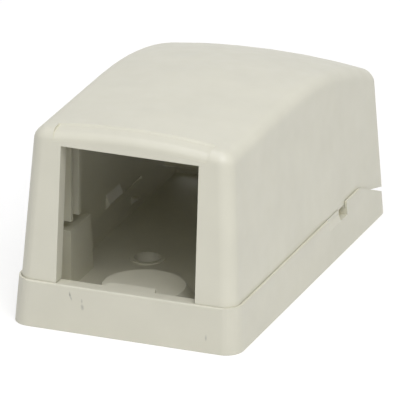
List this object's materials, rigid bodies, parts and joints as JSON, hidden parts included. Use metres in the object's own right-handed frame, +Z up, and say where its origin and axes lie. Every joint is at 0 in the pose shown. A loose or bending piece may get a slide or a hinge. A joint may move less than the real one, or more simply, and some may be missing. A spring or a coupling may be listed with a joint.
{
  "type": "surface mount jack box",
  "caption": "Small snap-together surface mount box for a data jack: a shallow screw-down base and a curved cover with a square front port and a rear cable entry.",
  "frame": {"origin": "centre of the base's underside, on the mounting surface", "axes": "+Z up from the mounting surface to the roof, -Y toward the front port, +X to the right seen from the front"},
  "size_m": [0.034, 0.06, 0.0293],
  "materials": {
    "base_plastic": "satin moulded, off-white",
    "cover_plastic": "satin moulded, off-white"
  },
  "bodies": {
    "base": {"base": "base_plastic"},
    "cover": {"cover": "cover_plastic"}
  },
  "joints": [
    {"name": "cover_lift", "type": "slide", "parent": "base", "child": "cover", "axis": [0, 0, 1], "range_m": [0, 0.035]}
  ]
}
